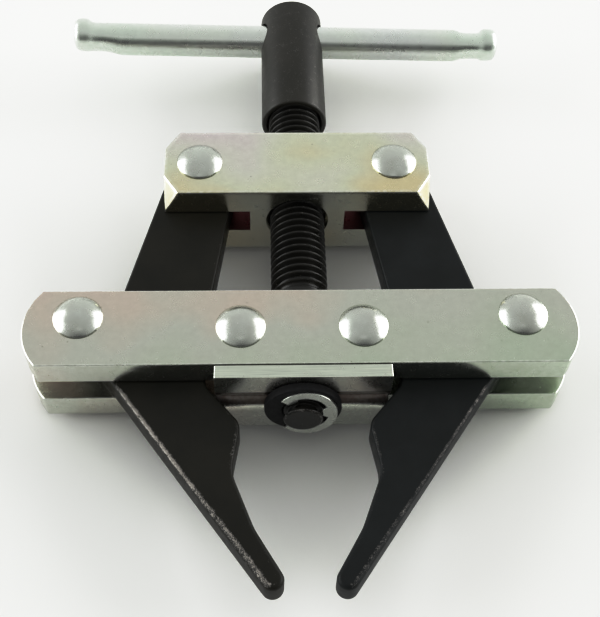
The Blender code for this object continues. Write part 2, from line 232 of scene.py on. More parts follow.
def slab(name, outline, low, high, edge, to_world=flat_z, wear=None, steps=4, margin=0.6 * MM, holes=()):
    """A flat outline given thickness, with rounded edges. edge is one radius, or one for each point.

    wear gives each outline point's share of edge wear, on the upper and on the lower edge. It fades out
    over the margin on each flat face.
    """
    count = len(outline)
    edges = np.full(count, edge) if np.isscalar(edge) else np.array(edge)
    upper_wear, lower_wear = wear if wear is not None else (np.ones(count), np.ones(count))
    turns = [math.pi / 2 * k / steps for k in range(steps + 1)]
    points, worn = [], []

    def ring(depths, heights, share):
        points.extend(to_world(x, y, z) for (x, y), z in zip(inset(outline, depths), heights))
        worn.extend(share)

    def edge_rings(turns, level, way, share):
        """Rings over the round of an edge, worn in full next to the flat face and less next to the side."""
        for turn in turns:
            ring(edges * (1 - math.sin(turn)), level + way * edges * (1 - math.cos(turn)),
                 share * (0.35 + 0.65 * math.cos(turn)))

    ring(edges + margin, np.full(count, low), np.zeros(count))
    edge_rings(turns, low, 1, lower_wear)
    edge_rings(reversed(turns), high, -1, upper_wear)
    ring(edges + margin, np.full(count, high), np.zeros(count))
    rings = len(points) // count
    faces = [face for k in range(rings - 1) for face in band(k * count, (k + 1) * count, count)]
    flat, triangles = cap(inset(outline, edges + margin), holes)
    walls = []                  # shift from a hole point's place in flat to its place at each end
    for height in (low, high):
        walls.append(len(points) - count)
        points += [to_world(x, y, height) for x, y in flat[count:]]
        worn += [0.0] * (len(flat) - count)
    for first, shift in ((0, walls[0]), ((rings - 1) * count, walls[1])):
        for triangle in triangles:
            faces.append(tuple(i + (first if i < count else shift) for i in triangle))
    for start in range(count, len(flat), HOLE_STEPS):
        faces += band(start + walls[0], start + walls[1], HOLE_STEPS)
    return solid(name, points, faces, worn)


ROOM_FOR_ROUND = 0.45                       # the share of each edge that a rounded corner may use
NEARLY_STRAIGHT = math.radians(87)          # half the angle at a corner that needs no rounding


def eased(profile, radius, steps=3, closed=False):
    """A profile of (radius, height) points with its corners rounded, ends left alone unless closed."""
    points = []
    last = len(profile) - 1
    for i, point in enumerate(profile):
        if i in (0, last) and not closed:
            points.append(point)
            continue
        before, after = profile[i - 1], profile[(i + 1) % len(profile)]
        room = min(math.dist(before, point), math.dist(point, after)) * ROOM_FOR_ROUND
        back = (Vector(before) - Vector(point)).normalized()
        ahead = (Vector(after) - Vector(point)).normalized()
        half = back.angle(ahead) / 2
        if half > NEARLY_STRAIGHT:
            points.append(point)
            continue
        points += rounded_corner(before, point, after, min(radius, room * math.tan(half)), steps)
    return points


def about_z(radius, angle, height):
    return Vector((radius * math.cos(angle), radius * math.sin(angle), height))


def about_y(radius, angle, height):
    """Angles turn right-handed about +Y, starting from +Z."""
    return Vector((radius * math.sin(angle), height, radius * math.cos(angle)))


def lathe(name, profile, centre, to_world=about_z, closed=False, steps=TURN_STEPS, wear=None, crease=35):
    """A profile of (radius, height) points turned about an axis. Its ends are on the axis unless closed.

    wear gives each profile point's share of edge wear.
    """
    centre = Vector(centre)
    points, faces, worn, rows = [], [], [], []
    for k, (radius, height) in enumerate(profile):
        on_axis = radius < 1e-9
        columns = 1 if on_axis else steps
        rows.append((len(points), columns))
        for i in range(columns):
            points.append(centre + to_world(radius, 2 * math.pi * i / steps, height))
            worn.append(0.0 if wear is None else wear[k])
    pairs = list(zip(rows, rows[1:])) + ([(rows[-1], rows[0])] if closed else [])
    for (start, columns), (other, other_columns) in pairs:
        for i in range(steps):
            j = (i + 1) % steps
            a, b = start + i % columns, start + j % columns
            c, d = other + j % other_columns, other + i % other_columns
            faces.append(tuple(dict.fromkeys((a, b, c, d))))
    return solid(name, points, faces, worn, crease)


def cutter_prism(name, low, high):
    """A box from its low corner to its high corner, for cutting a slot."""
    low, high = Vector(low), Vector(high)
    mesh = bpy.data.meshes.new(name)
    work = bmesh.new()
    bmesh.ops.create_cube(work, size=1)
    bmesh.ops.scale(work, vec=high - low, verts=work.verts)
    bmesh.ops.translate(work, vec=(low + high) / 2, verts=work.verts)
    work.to_mesh(mesh)
    work.free()
    return add_object(name, mesh)


def cutter_rod(name, radius, start, end, steps=64):
    """A rod from start to end, for cutting a hole."""
    start, end = Vector(start), Vector(end)
    length = (end - start).length
    rod = lathe(name, [(0, 0), (radius, 0), (radius, length), (0, length)], (0, 0, 0), steps=steps)
    turn = (end - start).to_track_quat("Z", "Y").to_matrix().to_4x4()
    rod.data.transform(Matrix.Translation(start) @ turn)
    return rod


def carve(obj, cutters, crease=35):
    """Cuts every cutter out of the piece, and removes the cutters."""
    for cutter in cutters:
        boolean = obj.modifiers.new(cutter.name, "BOOLEAN")
        boolean.operation = "DIFFERENCE"
        boolean.solver = "MANIFOLD"
        boolean.object = cutter
    graph = bpy.context.evaluated_depsgraph_get()
    mesh = bpy.data.meshes.new_from_object(obj.evaluated_get(graph), preserve_all_data_layers=True,
                                           depsgraph=graph)
    obj.modifiers.clear()
    obj.data = mesh
    for cutter in cutters:
        bpy.data.objects.remove(cutter)
    mesh.materials.clear()
    smooth(mesh, crease)


def settle(obj, node, body, slot, *materials):
    """Gives a piece its materials, and puts it in the place of its CAD node."""
    for material in materials:
        obj.data.materials.append(material)
    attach(obj, body)
    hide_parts(node)


def paint_faces(obj, index, test):
    """Gives the faces that pass the test another of the piece's materials."""
    for face in obj.data.polygons:
        if test(face.center, face.normal):
            face.material_index = index


# Materials ----------------------------

def colour_ramp(nodes, stops):
    """A ramp node through (position, grey or colour) stops."""
    node = nodes.new("ShaderNodeValToRGB")
    elements = node.color_ramp.elements
    while len(elements) < len(stops):
        elements.new(0.5)
    for element, (position, shade) in zip(elements, stops):
        element.position = position
        element.color = (*shade, 1) if hasattr(shade, "__len__") else (shade, shade, shade, 1)
    return node


class Look:
    """One procedural material, with short calls for the patterns that it needs."""

    def __init__(self, name, metallic, **sockets):
        self.material = bpy.data.materials.new(name)
        self.material.use_nodes = True
        self.nodes = self.material.node_tree.nodes
        self.links = self.material.node_tree.links
        self.shader = self.nodes["Principled BSDF"]
        self.fill(self.shader, Metallic=metallic, **sockets)
        self.place = self.nodes.new("ShaderNodeTexCoord").outputs["Object"]

    def put(self, value, socket):
        """Sets an input to a number or a colour, or links it to another node's output."""
        if isinstance(value, bpy.types.NodeSocket):
            self.links.new(value, socket)
        else:
            socket.default_value = (*value, 1) if hasattr(value, "__len__") else value

    def fill(self, node, **inputs):
        """Puts a value into each named input."""
        for name, value in inputs.items():
            self.put(value, node.inputs[name.replace("_", " ")])

    def stretched(self, stretch):
        """The object's own coordinates, with each axis divided by its stretch."""
        mapping = self.nodes.new("ShaderNodeMapping")
        mapping.inputs["Scale"].default_value = [1 / s for s in stretch]
        self.links.new(self.place, mapping.inputs["Vector"])
        return mapping.outputs["Vector"]

    def gradient(self, slope):
        """A value that changes by each part of the slope for each metre along that axis."""
        node = self.nodes.new("ShaderNodeVectorMath")
        node.operation = "DOT_PRODUCT"
        node.inputs[1].default_value = slope
        self.links.new(self.place, node.inputs[0])
        return node.outputs["Value"]

    def noise(self, size, detail=3.0, roughness=0.55, stretch=None, seed=0.0):
        """Cloudy noise with patches of about this size in metres."""
        node = self.nodes.new("ShaderNodeTexNoise")
        node.noise_dimensions = "4D"
        place = self.stretched(stretch) if stretch else self.place
        self.fill(node, Vector=place, W=seed, Scale=1 / size, Detail=detail, Roughness=roughness)
        return node.outputs["Fac"]

    def spots(self, size):
        """Distance from scattered points that lie about this far apart, as a share of that."""
        node = self.nodes.new("ShaderNodeTexVoronoi")
        self.fill(node, Vector=self.place, Scale=1 / size)
        return node.outputs["Distance"]

    def wear(self):
        node = self.nodes.new("ShaderNodeAttribute")
        node.attribute_name = "wear"
        return node.outputs["Fac"]

    def ramp(self, value, *stops):
        """Maps a value through (position, grey or colour) stops."""
        node = colour_ramp(self.nodes, stops)
        self.links.new(value, node.inputs["Fac"])
        return node.outputs["Color"]

    def math(self, operation, first, second):
        node = self.nodes.new("ShaderNodeMath")
        node.operation = operation
        for value, socket in zip((first, second), node.inputs):
            self.put(value, socket)
        return node.outputs["Value"]

    def mix(self, share, first, second, way="MIX"):
        """Second colour over the first, by a share that varies over the surface."""
        node = self.nodes.new("ShaderNodeMix")
        node.data_type = "RGBA"
        node.blend_type = way
        sockets = {"Factor_Float": share, "A_Color": first, "B_Color": second}
        for socket in node.inputs:
            if socket.identifier in sockets:
                self.put(sockets[socket.identifier], socket)
        return next(s for s in node.outputs if s.identifier == "Result_Color")

    def height(self, value, depth, under=None):
        """A bump of this depth in metres, on top of another one."""
        node = self.nodes.new("ShaderNodeBump")
        self.fill(node, Height=value, Distance=depth, Strength=1.0)
        if under is not None:
            self.fill(node, Normal=under)
        return node.outputs["Normal"]

    def finish(self, colour, roughness, normal, metallic=None):
        self.fill(self.shader, Base_Color=colour, Roughness=roughness, Normal=normal)
        if metallic is not None:
            self.fill(self.shader, Metallic=metallic)
        return self.material


def zinc(name, tints, gloss=0.24, seed=0.0, slope=(0, 0, 0), shift=0.0, wave=0.010 * MM, marks=0.40):
    """Clear zinc plate on rolled steel: a faint shifting tint, a soft grain, small pits, brighter edges.

    slope is how far the tint moves up its ramp for each metre along each axis, from shift at the origin,
    wave is how deep the slow waves in the surface are, and marks is how strongly its pits show.
    """
    look = Look(name, 1.0)
    cloud = look.math("ADD", look.noise(24 * MM, 2.0, 0.5, seed=seed), shift)
    tint = look.ramp(look.math("ADD", cloud, look.gradient(slope)), *tints)
    mottle = look.ramp(look.noise(1.6 * MM, 4.0, 0.65, seed=seed + 3), (0.3, 0.94), (0.7, 1.0))
    colour = look.mix(1.0, tint, mottle, "MULTIPLY")
    pits = look.ramp(look.spots(2.6 * MM), (0.035, 1.0), (0.075, 0.0))
    where = look.ramp(look.noise(7 * MM, 2.0, 0.5, seed=seed + 7), (0.50, 0.0), (0.60, marks))
    pitted = look.math("MULTIPLY", pits, where)
    colour = look.mix(pitted, colour, (0.16, 0.16, 0.13))
    rubbed = look.ramp(look.noise(0.9 * MM, 3.0, 0.6, seed=seed + 5), (0.35, 0.15), (0.65, 0.75))
    edge = look.math("MULTIPLY", look.wear(), rubbed)
    colour = look.mix(edge, colour, (0.86, 0.88, 0.84))
    satin = look.noise(2.2 * MM, 5.0, 0.65, seed=seed + 9)
    roughness = look.ramp(satin, (0.3, gloss - 0.05), (0.7, gloss + 0.07))
    normal = look.height(look.noise(6 * MM, 2.0, 0.5, seed=seed + 1), wave)
    normal = look.height(look.noise(0.35 * MM, 4.0, 0.6, seed=seed + 2), 0.0045 * MM, normal)
    normal = look.height(pitted, -0.03 * MM, normal)
    return look.finish(colour, roughness, normal)


PLATE_TINTS = ((0.15, (0.70, 0.61, 0.57)), (0.35, (0.68, 0.63, 0.57)), (0.50, (0.63, 0.64, 0.59)),
               (0.65, (0.61, 0.64, 0.57)), (0.85, (0.57, 0.63, 0.54)))
YOKE_TINTS = ((0.30, (0.72, 0.68, 0.68)), (0.45, (0.71, 0.71, 0.66)), (0.58, (0.70, 0.71, 0.61)),
              (0.72, (0.72, 0.67, 0.50)))
BAR_TINTS = ((0.35, (0.74, 0.79, 0.74)), (0.50, (0.77, 0.80, 0.76)), (0.65, (0.76, 0.78, 0.77)))
# The bends' tints: a redder film, made far darker as a painted reflection of the shadowed floor.
BEND_SHADE_TINTS = ((0.35, (0.19, 0.12, 0.11)), (0.60, (0.16, 0.13, 0.11)))
# The slots' tints: a redder film, made darker as painted shade inside the slots.
SLOT_FILM_AND_SHADE_TINTS = ((0.35, (0.38, 0.22, 0.23)), (0.60, (0.44, 0.28, 0.28)))


def sheared(name, seed=0.0):
    """The cut edge of the bent sheet: zinc over fine lines that run along the edge."""
    look = Look(name, 1.0)
    lines = look.noise(0.16 * MM, 3.0, 0.6, stretch=(60.0, 1.0, 1.0), seed=seed)
    colour = look.ramp(lines, (0.30, (0.52, 0.55, 0.50)), (0.50, (0.63, 0.66, 0.60)),
                       (0.70, (0.71, 0.73, 0.67)))
    roughness = look.ramp(look.noise(1.5 * MM, 3.0), (0.3, 0.26), (0.7, 0.40))
    normal = look.height(lines, 0.03 * MM)
    return look.finish(colour, roughness, normal)


def polished(name, seed=0.0):
    """Bright zinc on formed heads: smooth, with a faint swirl from the forming tool."""
    look = Look(name, 1.0)
    tint = look.ramp(look.noise(5 * MM, 3.0, seed=seed), (0.35, (0.57, 0.58, 0.55)),
                     (0.65, (0.63, 0.65, 0.62)))
    marks = look.ramp(look.noise(0.7 * MM, 4.0, 0.7, seed=seed + 4), (0.60, 0.0), (0.75, 0.35))
    colour = look.mix(marks, tint, (0.50, 0.50, 0.46))
    roughness = look.ramp(look.noise(1.4 * MM, 4.0, seed=seed + 1), (0.3, 0.21), (0.7, 0.30))
    normal = look.height(look.noise(2.5 * MM, 3.0, seed=seed + 2), 0.022 * MM)
    normal = look.height(look.noise(0.4 * MM, 3.0, seed=seed + 3), 0.004 * MM, normal)
    return look.finish(colour, roughness, normal)


def oxide(name, deep, pale, seed=0.0, gloss=0.42, specular=0.30):
    """Black oxide on steel: satin, faintly grained, rubbed through to the metal where it is worn."""
    look = Look(name, 0.0, Specular_IOR_Level=specular)
    cloud = look.ramp(look.noise(9 * MM, 4.0, 0.6, seed=seed), (0.32, deep), (0.70, pale))
    grain = look.noise(0.28 * MM, 3.0, 0.7, seed=seed + 2)
    speckle = look.math("MULTIPLY", look.noise(0.22 * MM, 3.0, 0.8, seed=seed + 5), 1.8)
    patches = look.math("MULTIPLY", look.noise(1.6 * MM, 2.0, 0.6, seed=seed + 6), 0.8)
    rub = look.math("ADD", speckle, patches)
    worn = look.ramp(look.math("SUBTRACT", look.math("ADD", look.wear(), rub), 1.30),
                     (0.52, 0.0), (0.80, 0.9))
    colour = look.mix(worn, cloud, (0.40, 0.38, 0.36))
    satin = look.ramp(look.noise(1.8 * MM, 4.0, 0.6, seed=seed + 8), (0.3, gloss - 0.06),
                      (0.7, gloss + 0.10))
    roughness = look.mix(worn, satin, (0.50, 0.50, 0.50))
    normal = look.height(look.noise(3.5 * MM, 3.0, seed=seed + 1), 0.03 * MM)
    normal = look.height(grain, 0.012 * MM, normal)
    metal = look.ramp(worn, (0.1, 0.0), (0.8, 0.35))
    return look.finish(colour, roughness, normal, metal)


def matt_black(name):
    """Blackened washer steel: dull, with a dusty bloom."""
    look = Look(name, 0.0, Specular_IOR_Level=0.25)
    colour = look.ramp(look.noise(1.2 * MM, 5.0, 0.7), (0.30, (0.008, 0.008, 0.009)),
                       (0.75, (0.020, 0.020, 0.021)))
    roughness = look.ramp(look.noise(0.8 * MM, 3.0), (0.3, 0.52), (0.7, 0.68))
    normal = look.height(look.noise(0.25 * MM, 3.0, 0.7), 0.012 * MM)
    return look.finish(colour, roughness, normal)


plate_zinc = zinc("plate_zinc", PLATE_TINTS, 0.23, 2.0, (3.4, -14.0, 0), -0.33)
web_zinc = zinc("web_zinc", PLATE_TINTS, 0.27, 11.0)
web_bend = zinc("web_bend", BEND_SHADE_TINTS, 0.34, 12.0)
web_edge = sheared("web_cut_edge")
yoke_zinc = zinc("yoke_zinc", YOKE_TINTS, 0.23, 5.0, (-2.5, -10.0, 0), 0.22)
slot_film_and_shade_zinc = zinc("yoke_slot_tint", SLOT_FILM_AND_SHADE_TINTS, 0.30, 6.0)
bar_zinc = zinc("tommy_bar_zinc", BAR_TINTS, 0.29, 8.0, wave=0.003 * MM, marks=0.10)
rivet_zinc = polished("rivet_zinc")
ring_steel = polished("ring_steel", 6.0)
left_oxide = oxide("left_arm_oxide", (0.010, 0.010, 0.007), (0.018, 0.017, 0.012), 1.0)
right_oxide = oxide("right_arm_oxide", (0.008, 0.010, 0.010), (0.015, 0.018, 0.019), 4.0)
screw_oxide = oxide("screw_oxide", (0.008, 0.008, 0.007), (0.016, 0.015, 0.012), 7.0, 0.30, 0.5)
head_oxide = oxide("head_oxide", (0.020, 0.020, 0.015), (0.034, 0.032, 0.025), 9.0, 0.34, 0.5)
washer_black = matt_black("washer_black")


# Pieces -------------------------------

def middle_of(node):
    low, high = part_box(node)
    return Vector(((low.x + high.x) / 2, (low.y + high.y) / 2, AXIS_Z))


def rivet_spots(*kinds):
    """Where the rivets of these kinds stand, by name."""
    names = [f"{kind}_rivet_{side}" for kind in kinds for side in ("left", "right")]
    return {name: middle_of(name) for name in names}


def rivet(node, body, grip_high, grip_low):
    """A round shank with a formed dome at each end, standing on the faces that it grips."""
    spot = middle_of(node)
    low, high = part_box(node)
    seat = 0.02 * MM                # between a head and the face under it
    rim = 0.25 * MM                 # how high the dome starts
    flattening, flat_reach = 0.03 * MM, 1.1 * MM
    steps = 24

    def dome(base, crown):
        """From the middle of the crown out to the rim and under it."""
        rise = abs(crown - base) - rim
        sphere = (HEAD_RADIUS ** 2 + rise ** 2) / (2 * rise)
        reach = math.asin(HEAD_RADIUS / sphere)
        way = 1 if crown > base else -1
        points = []
        for i in range(steps + 1):
            turn = reach * i / steps
            radius = sphere * math.sin(turn)
            drop = sphere * (1 - math.cos(turn)) + flattening * math.exp(-(radius / flat_reach) ** 2)
            points.append((radius, crown - way * drop))
        points += [(HEAD_RADIUS, base + way * 0.10 * MM), (HEAD_RADIUS - 0.12 * MM, base), (SHANK, base)]
        return points

    top = dome(grip_high + seat, high.z)
    bottom = dome(grip_low - seat, low.z)
    profile = top + list(reversed(bottom))
    obj = lathe(node + "_formed", profile, (spot.x, spot.y, 0), crease=60)
    settle(obj, node, body, "polished_steel", rivet_zinc)


def end_arc_outline(low, high):
    """A long bar's outline: straight sides, a shallow arc at each end and softened corners."""
    half_length, half = (high.x - low.x) / 2, (high.y - low.y) / 2
    corner_in = 3.35 * MM               # how far a corner lies in from the arc's middle
    radius = (half ** 2 + corner_in ** 2) / (2 * corner_in)
    sweep = math.asin(half / radius)
    middle = (low.y + high.y) / 2
    right = arc((half_length - radius, middle), radius, -sweep, sweep, 20)
    left = arc((radius - half_length, middle), radius, math.pi - sweep, math.pi + sweep, 20)
    corner = 0.48 * MM
    outline = []
    for ends, other in ((right, left), (left, right)):
        outline += rounded_corner(other[-1], ends[0], ends[1], corner, 3)
        outline += ends[1:-1]
        outline += rounded_corner(ends[-2], ends[-1], other[0], corner, 3)
    return outline


def journal_cutter(name, low_y, high_y):
    """Clears the way for the screw's journal."""
    return cutter_rod(name, JOURNAL + JOURNAL_GAP, (0, low_y - MM, AXIS_Z), (0, high_y + MM, AXIS_Z))


def rivet_cutters(kind, low_z, high_z):
    return [cutter_rod("hole_" + name, PLATE_HOLE, (x, y, low_z - MM), (x, y, high_z + MM))
            for name, (x, y, _) in rivet_spots(kind).items()]


def long_bar(node, low, high):
    """A side plate, with a groove along its inner face where the journal passes between the two."""
    holes = [(spot.x, spot.y, PLATE_HOLE) for spot in rivet_spots("outer", "inner").values()]
    obj = slab(node + "_rolled", end_arc_outline(low, high), low.z, high.z, 0.20 * MM, margin=0.15 * MM,
               holes=holes)
    carve(obj, [journal_cutter("journal_groove", low.y, high.y)])
    settle(obj, node, "frame", "zinc_steel", plate_zinc)


def bracket(node, side):
    """A bent sheet: the web in front of the bar, the bend, and the tongue between the plates."""
    low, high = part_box(node)
    sheet, bend = 2.8 * MM, 3.6 * MM
    near = (low.z if side > 0 else high.z)              # the face next to the other bracket
    far = (high.z if side > 0 else low.z)
    front, web_rear = low.y, low.y + sheet
    inner = bend - sheet
    section = [(high.y, near + side * sheet), (web_rear + inner, near + side * sheet)]
    section += [(web_rear, near + side * (sheet + inner)), (web_rear, far), (front, far)]
    section += [(y, near + side * z) for y, z in arc((front + bend, bend), bend, math.pi, 1.5 * math.pi, 8)]
    section += [(high.y, near)]
    if side < 0:
        section.reverse()
    obj = slab(node + "_bent", section, low.x, high.x, 0.22 * MM, along_x, margin=0.25 * MM)
    cutters = [journal_cutter("journal_hole", front, high.y)]
    cutters += rivet_cutters("inner", low.z, high.z)
    # The tongue is a little narrower than the web.
    trim, reach = 0.75 * MM, 5 * MM
    for edge in (-1, 1):
        left, right = sorted((edge * (high.x - trim), edge * (high.x + MM)))
        cutters.append(cutter_prism(f"trim_{edge}", (left, web_rear + 0.2 * MM, AXIS_Z - reach),
                                    (right, high.y + MM, AXIS_Z + reach)))
    carve(obj, cutters)
    settle(obj, node, "frame", "zinc_steel", web_zinc, web_edge, web_bend)
    paint_faces(obj, 1, lambda centre, normal: abs(centre.z - far) < 0.05 * MM and normal.z * side > 0.9)
    # The bends take a darker, redder material, on all of the upper one and on the inner part of the lower
    # one: the red is the film on the stretched skin, the darkness is a painted reflection of the shadowed
    # floor below.
    start = 0.02 if side > 0 else 0.50
    paint_faces(obj, 2, lambda centre, normal: (
        centre.y < front + bend and normal.y < -0.1 and normal.z * side < -start))


def sleeve(node):
    """A plain spacer on an outer rivet, with eased edges."""
    low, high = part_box(node)
    radius, bore = (high.x - low.x) / 2, PLATE_HOLE
    profile = [(radius, high.z), (radius, low.z), (bore, low.z), (bore, high.z)]
    spot = middle_of(node)
    obj = lathe(node + "_turned", eased(profile, 0.3 * MM, closed=True), (spot.x, spot.y, 0), closed=True)
    settle(obj, node, "frame", "polished_steel", rivet_zinc)


# Places along one pitch that have a row of points, closest together at the crest
THREAD_PHASES = (0.0, 0.05, 0.085, 0.15, 0.22, 0.29, 0.36, 0.43, 0.50,
                 0.57, 0.64, 0.71, 0.78, 0.85, 0.915, 0.95)
HALF_CREST, FLANK = 0.0625, 0.30            # shares of the pitch
RUN_OUT = 2.2 * MM
THREAD_STEPS = 60
# The crests' and the rim's shares of wear are partly rubbing and partly painted highlight.
CREST_WEAR_AND_SHEEN, RIM_WEAR_AND_HIGHLIGHT = 0.34, 0.45


def clamped(share):
    return min(1.0, max(0.0, share))


def thread_radius(angle, y, start, end):
    """Radius of a right-hand thread about +Y, faded to its root at both ends."""
    phase = ((y - start) / PITCH - angle / (2 * math.pi)) % 1.0
    from_crest = min(phase, 1 - phase)
    fall = clamped((from_crest - HALF_CREST) / FLANK)
    cut = fall * fall * (3 - 2 * fall) * 0.5 + fall * 0.5
    fade = clamped((y - start) / RUN_OUT) * clamped((end - y) / RUN_OUT)
    return ROOT + (MAJOR - ROOT) * (1 - cut) * fade


def threaded_columns(start, end):
    """For each angle round the axis, the (radius, y, wear) points of a threaded length, where the crests'
    wear also paints a faint highlight.
    """
    turns = math.ceil((end - start) / PITCH) + 2
    columns = []
    for i in range(THREAD_STEPS):
        angle = 2 * math.pi * i / THREAD_STEPS
        column = []
        for row in range(-len(THREAD_PHASES), turns * len(THREAD_PHASES)):
            turn, step = divmod(row, len(THREAD_PHASES))
            y = start + PITCH * (turn + THREAD_PHASES[step] + i / THREAD_STEPS)
            y = min(max(y, start), end)
            radius = thread_radius(angle, y, start, end)
            # Wear, which also paints a faint highlight along the crests, starts four fifths of the way up
            # to the crest.
            crest = max(0.0, (radius - ROOT) / (MAJOR - ROOT) * 5 - 4)
            column.append((radius, y, CREST_WEAR_AND_SHEEN * crest))
        columns.append(column)
    return columns


def threaded_rod(name, front_profile, start, end, rear_profile):
    """A turned front, a threaded length and a turned rear as one closed mesh about the screw's axis."""
    columns = threaded_columns(start, end)
    rows = len(columns[0])
    # The pale rim of the front end, partly rubbed wear and partly a painted highlight on its bevel, lies in
    # front of rim_rear and outside rim_inner.
    rim_rear, rim_inner = front_profile[0][1] + 0.35 * MM, front_profile[1][0] + 0.02 * MM
    centre = Vector((0, 0, AXIS_Z))
    points, worn, faces = [], [], []

    def add(i, radius, y, wear):
        points.append(centre + about_y(radius, 2 * math.pi * i / THREAD_STEPS, y))
        worn.append(wear)

    def chain(profile):
        """Rings for a turned end. Returns the first point of each."""
        starts = []
        for radius, y in profile:
            starts.append(len(points))
            for i in range(THREAD_STEPS):
                add(i, radius, y, RIM_WEAR_AND_HIGHLIGHT if y < rim_rear and radius > rim_inner else 0.0)
        for first, second in zip(starts, starts[1:]):
            faces.extend(band(first, second, THREAD_STEPS))
        return starts

    front = chain(front_profile + [(ROOT, start)])
    faces.append(tuple(range(front[0], front[0] + THREAD_STEPS)))
    rear = chain([(ROOT, end)] + rear_profile)
    faces.append(tuple(range(rear[-1], rear[-1] + THREAD_STEPS)))
    base = len(points)
    for i, column in enumerate(columns):
        for point in column:
            add(i, *point)
    # The last column meets the first one a whole turn further along.
    shift = len(THREAD_PHASES)
    for i in range(THREAD_STEPS):
        j = (i + 1) % THREAD_STEPS
        step = shift if j == 0 else 0
        for row in range(rows - 1):
            if row + 1 + step < rows:
                a, b = base + i * rows + row, base + i * rows + row + 1
                c, d = base + j * rows + row + 1 + step, base + j * rows + row + step
                faces.append((a, b, c, d))
    return solid(name, points, faces, worn, crease=40)


def screw():
    """Journal with a ring groove, shoulder, plain collar and an M12 thread that runs into the head."""
    tip = SCREW_LOW.y
    groove_rear, groove_front, groove = FRONT - 5.2 * MM, FRONT - 6.95 * MM, 2.9 * MM
    shoulder = FRONT + 18.0 * MM
    collar = FRONT + 20.8 * MM
    thread_start, thread_end = collar + 0.6 * MM, SCREW_HIGH.y - 0.4 * MM
    corners = [(JOURNAL - 1.2 * MM, tip), (JOURNAL - 0.6 * MM, tip), (JOURNAL - 0.35 * MM, tip),
               (JOURNAL, tip + 0.30 * MM), (JOURNAL, groove_front), (groove, groove_front),
               (groove, groove_rear), (JOURNAL, groove_rear), (JOURNAL, shoulder), (MAJOR, shoulder),
               (MAJOR, collar), (ROOT, collar + 0.35 * MM)]
    front = eased(corners, 0.18 * MM)
    rear = [(ROOT - 0.4 * MM, SCREW_HIGH.y)]
    obj = threaded_rod("screw_threaded", front, thread_start, thread_end, rear)
    settle(obj, "screw", "screw", "dark_steel", screw_oxide)


def washer():
    """A thick black ring with well rounded edges, in front of the web."""
    low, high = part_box("thrust_washer")
    rear, front = FRONT - 3.2 * MM, low.y
    radius, bore = (high.x - low.x) / 2, JOURNAL + 0.2 * MM
    profile = [(radius, front), (radius, rear), (bore, rear), (bore, front)]
    obj = lathe("thrust_washer_turned", eased(profile, 0.35 * MM, 4, closed=True), (0, 0, AXIS_Z), about_y,
                closed=True)
    settle(obj, "thrust_washer", "screw", "black_washer", washer_black)


def ring_clip():
    """An E-shaped clip, pushed on from +X, with three lugs in the groove and a slight tilt."""
    outer, band, lug = 6.15 * MM, 4.4 * MM, 3.15 * MM
    mouth, clocking, tilt = math.radians(41), math.radians(-5), math.radians(9)
    steps = 72
    start, end = mouth - math.pi, math.pi - mouth
    lug_half, slope = math.radians(15), math.radians(4)
    lugs = (start + lug_half * 0.7, 0.0, end - lug_half * 0.7)
    outline = arc((0, 0), outer, start, end, steps)
    inner = []
    for i in range(steps, -1, -1):
        angle = start + (end - start) * i / steps
        reach = min(abs(angle - spot) for spot in lugs)
        share = clamped((reach - lug_half) / slope)
        radius = lug + (band - lug) * share
        inner.append((radius * math.cos(angle), radius * math.sin(angle)))
    outline += inner
    half = 0.4 * MM
    obj = slab("retaining_ring_stamped", outline, -half, half, 0.10 * MM, margin=0.06 * MM, steps=2)
    turn = Matrix.Rotation(clocking, 4, "Y") @ Matrix.Rotation(math.pi / 2 - tilt, 4, "X")
    # It hangs off centre by the slack between its lugs and the groove.
    place = Vector((0.60 * MM, FRONT - 5.95 * MM, AXIS_Z + 0.75 * MM))
    obj.data.transform(Matrix.Translation(place) @ turn)
    settle(obj, "retaining_ring", "screw", "polished_steel", ring_steel)


def head():
    """The black sleeve on the rear of the screw: relieved mouth, eased rear edge and a cross-hole."""
    radius = (HEAD_HIGH.x - HEAD_LOW.x) / 2
    mouth, rear = HEAD_LOW.y, HEAD_HIGH.y
    bore, relief = MAJOR + 0.15 * MM, 6.35 * MM
    bore_end = SCREW_HIGH.y + 0.3 * MM
    body = [(0, rear), (radius, rear), (radius, mouth), (relief, mouth), (relief, mouth + 1.2 * MM),
            (bore, mouth + 1.7 * MM), (bore, bore_end), (0, bore_end)]
    profile = eased(body, 0.45 * MM, 5)

    def rubbed(r, y):
        """Light wear on both outer edges."""
        return 0.30 if abs(r - radius) < 0.3 * MM and (y - mouth < MM or rear - y < MM) else 0.0

    obj = lathe("handle_head_turned", profile, (0, 0, AXIS_Z), about_y, wear=[rubbed(*p) for p in profile])
    middle = Vector((0, CROSS_Y + 0.15 * MM, AXIS_Z))
    half = Vector((math.cos(CLOCKING), 0, -math.sin(CLOCKING))) * 12 * MM
    carve(obj, [cutter_rod("cross_hole", 4.4 * MM, middle - half, middle + half, 96)])
    settle(obj, "handle_head", "screw", "dark_steel", head_oxide)


